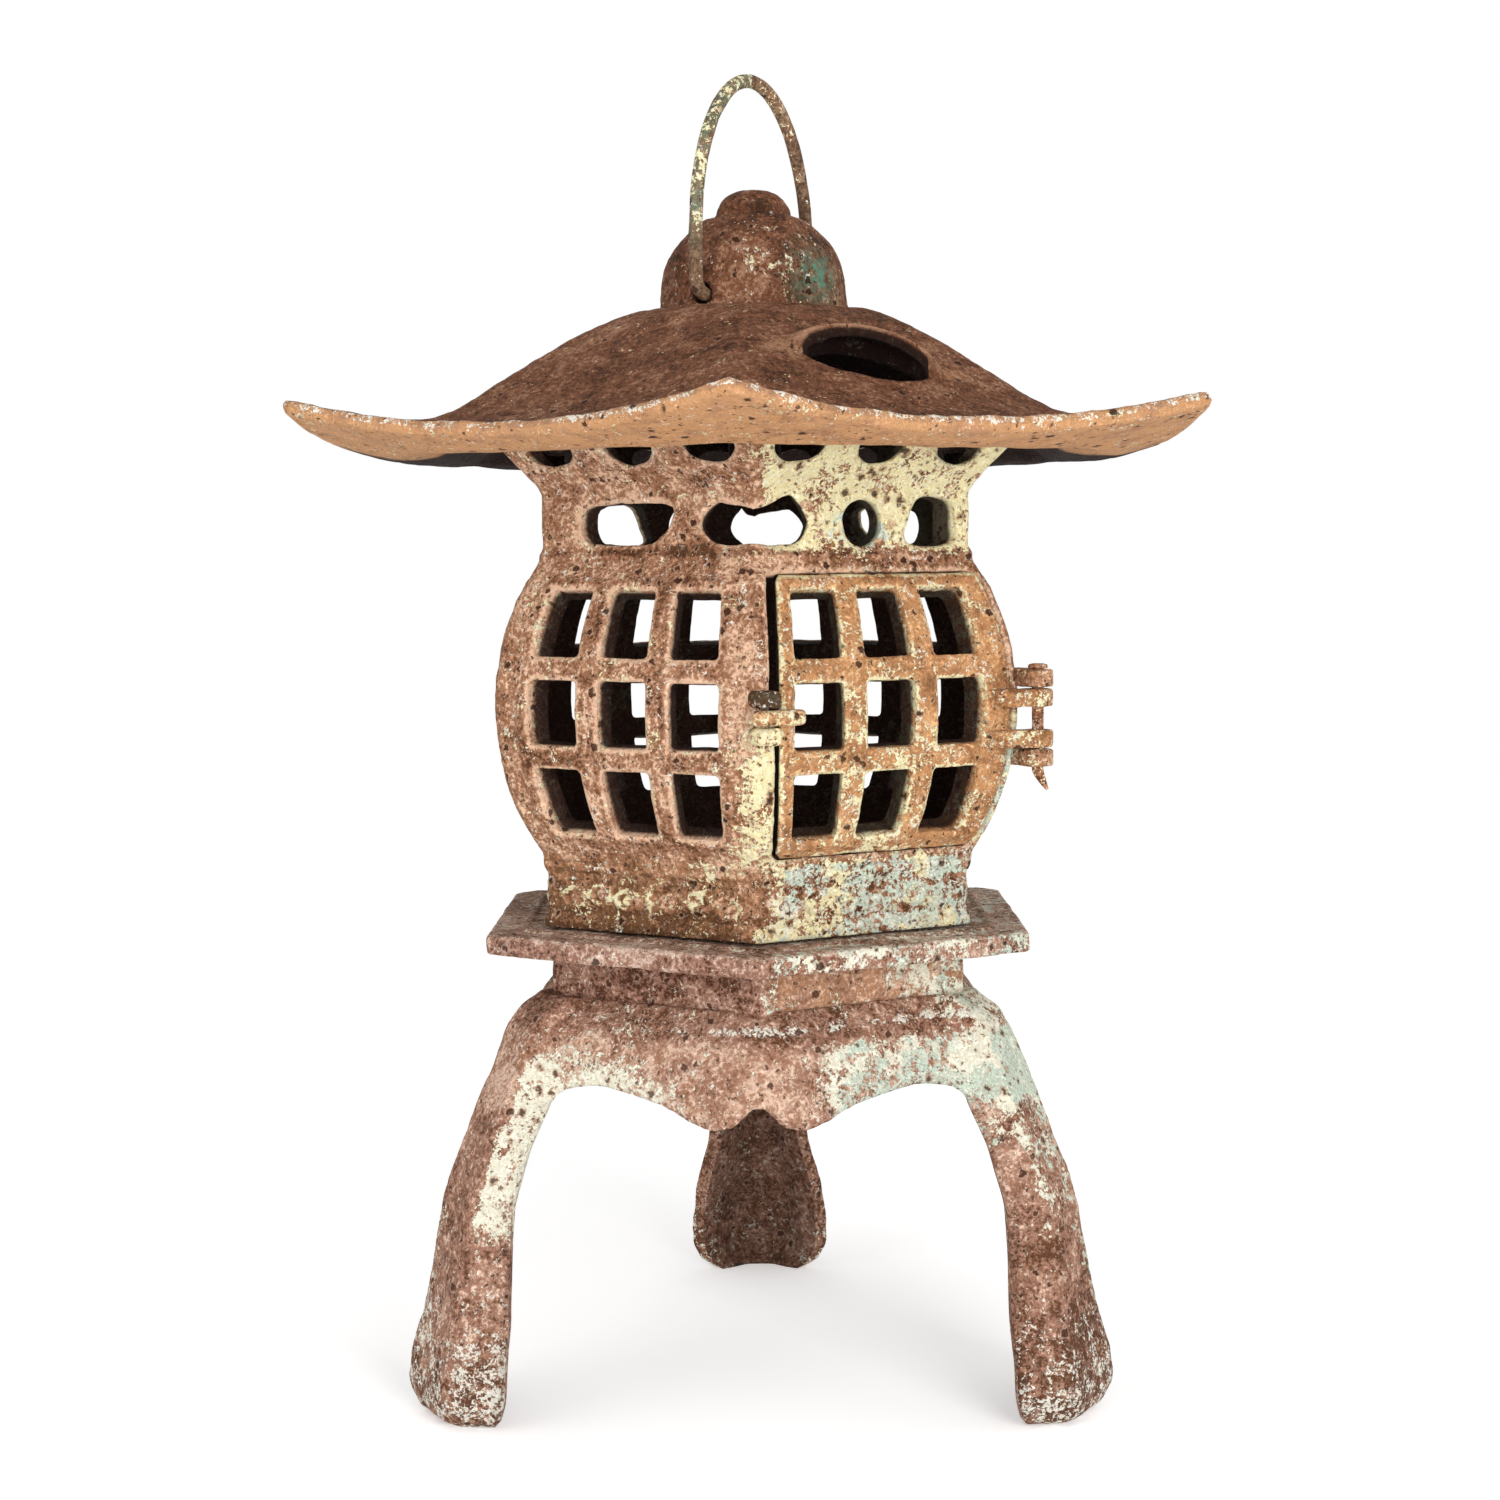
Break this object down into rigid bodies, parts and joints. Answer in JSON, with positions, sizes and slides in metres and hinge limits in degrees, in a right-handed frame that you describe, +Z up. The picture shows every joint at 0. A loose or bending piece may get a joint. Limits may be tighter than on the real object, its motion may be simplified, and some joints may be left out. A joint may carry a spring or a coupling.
{
  "type": "pagoda lantern",
  "caption": "Rusted cast-iron hexagonal pagoda lantern on a tripod stand, with a hinged lattice door, a flared roof with hooded vents and a swinging wire bail.",
  "frame": {"origin": "on the ground, on the lantern's centre line", "axes": "+Z up; -Y towards the front vertex of the hexagon; +X towards the side that carries the door's hinge"},
  "size_m": [0.2606, 0.2938, 0.3906],
  "materials": {
    "stand_iron": "rust brown with worn cream and mint-green paint, greyish feet",
    "plate_iron": "rust brown, dull",
    "firebox_iron": "rust brown with flaking cream, yellow and mint-green paint",
    "door_iron": "orange-brown rust with worn cream paint on the ridges",
    "roof_iron": "dark rust brown, orange-tan under the eaves",
    "bail_wire": "rusted round wire",
    "cup_iron": "dark rust, sooty",
    "pin_steel": "rusted nail",
    "fastener_steel": "rusted"
  },
  "bodies": {
    "frame": {"tripod_stand": "stand_iron", "platform_plate": "plate_iron", "firebox": "firebox_iron", "hinge_pin": "pin_steel", "roof": "roof_iron", "candle_cup": "cup_iron", "candle_cup_screw": "fastener_steel", "candle_cup_nut": "fastener_steel", "base_screw_1": "fastener_steel", "base_screw_2": "fastener_steel", "base_screw_3": "fastener_steel", "base_nut_1": "fastener_steel", "base_nut_2": "fastener_steel", "base_nut_3": "fastener_steel", "roof_screw_1": "fastener_steel", "roof_screw_2": "fastener_steel", "roof_screw_3": "fastener_steel"},
    "door": {"door": "door_iron"},
    "bail": {"bail": "bail_wire"}
  },
  "joints": [
    {"name": "door_hinge", "type": "hinge", "parent": "frame", "child": "door", "pos_m": [0.08037, -0.0464, 0.2012], "axis": [0, 0, 1], "range_deg": [0, 180]},
    {"name": "bail_swing", "type": "hinge", "parent": "frame", "child": "bail", "pos_m": [0, 0, 0.3238], "axis": [-0.5299, -0.848, 0], "range_deg": [-95, 95]}
  ]
}
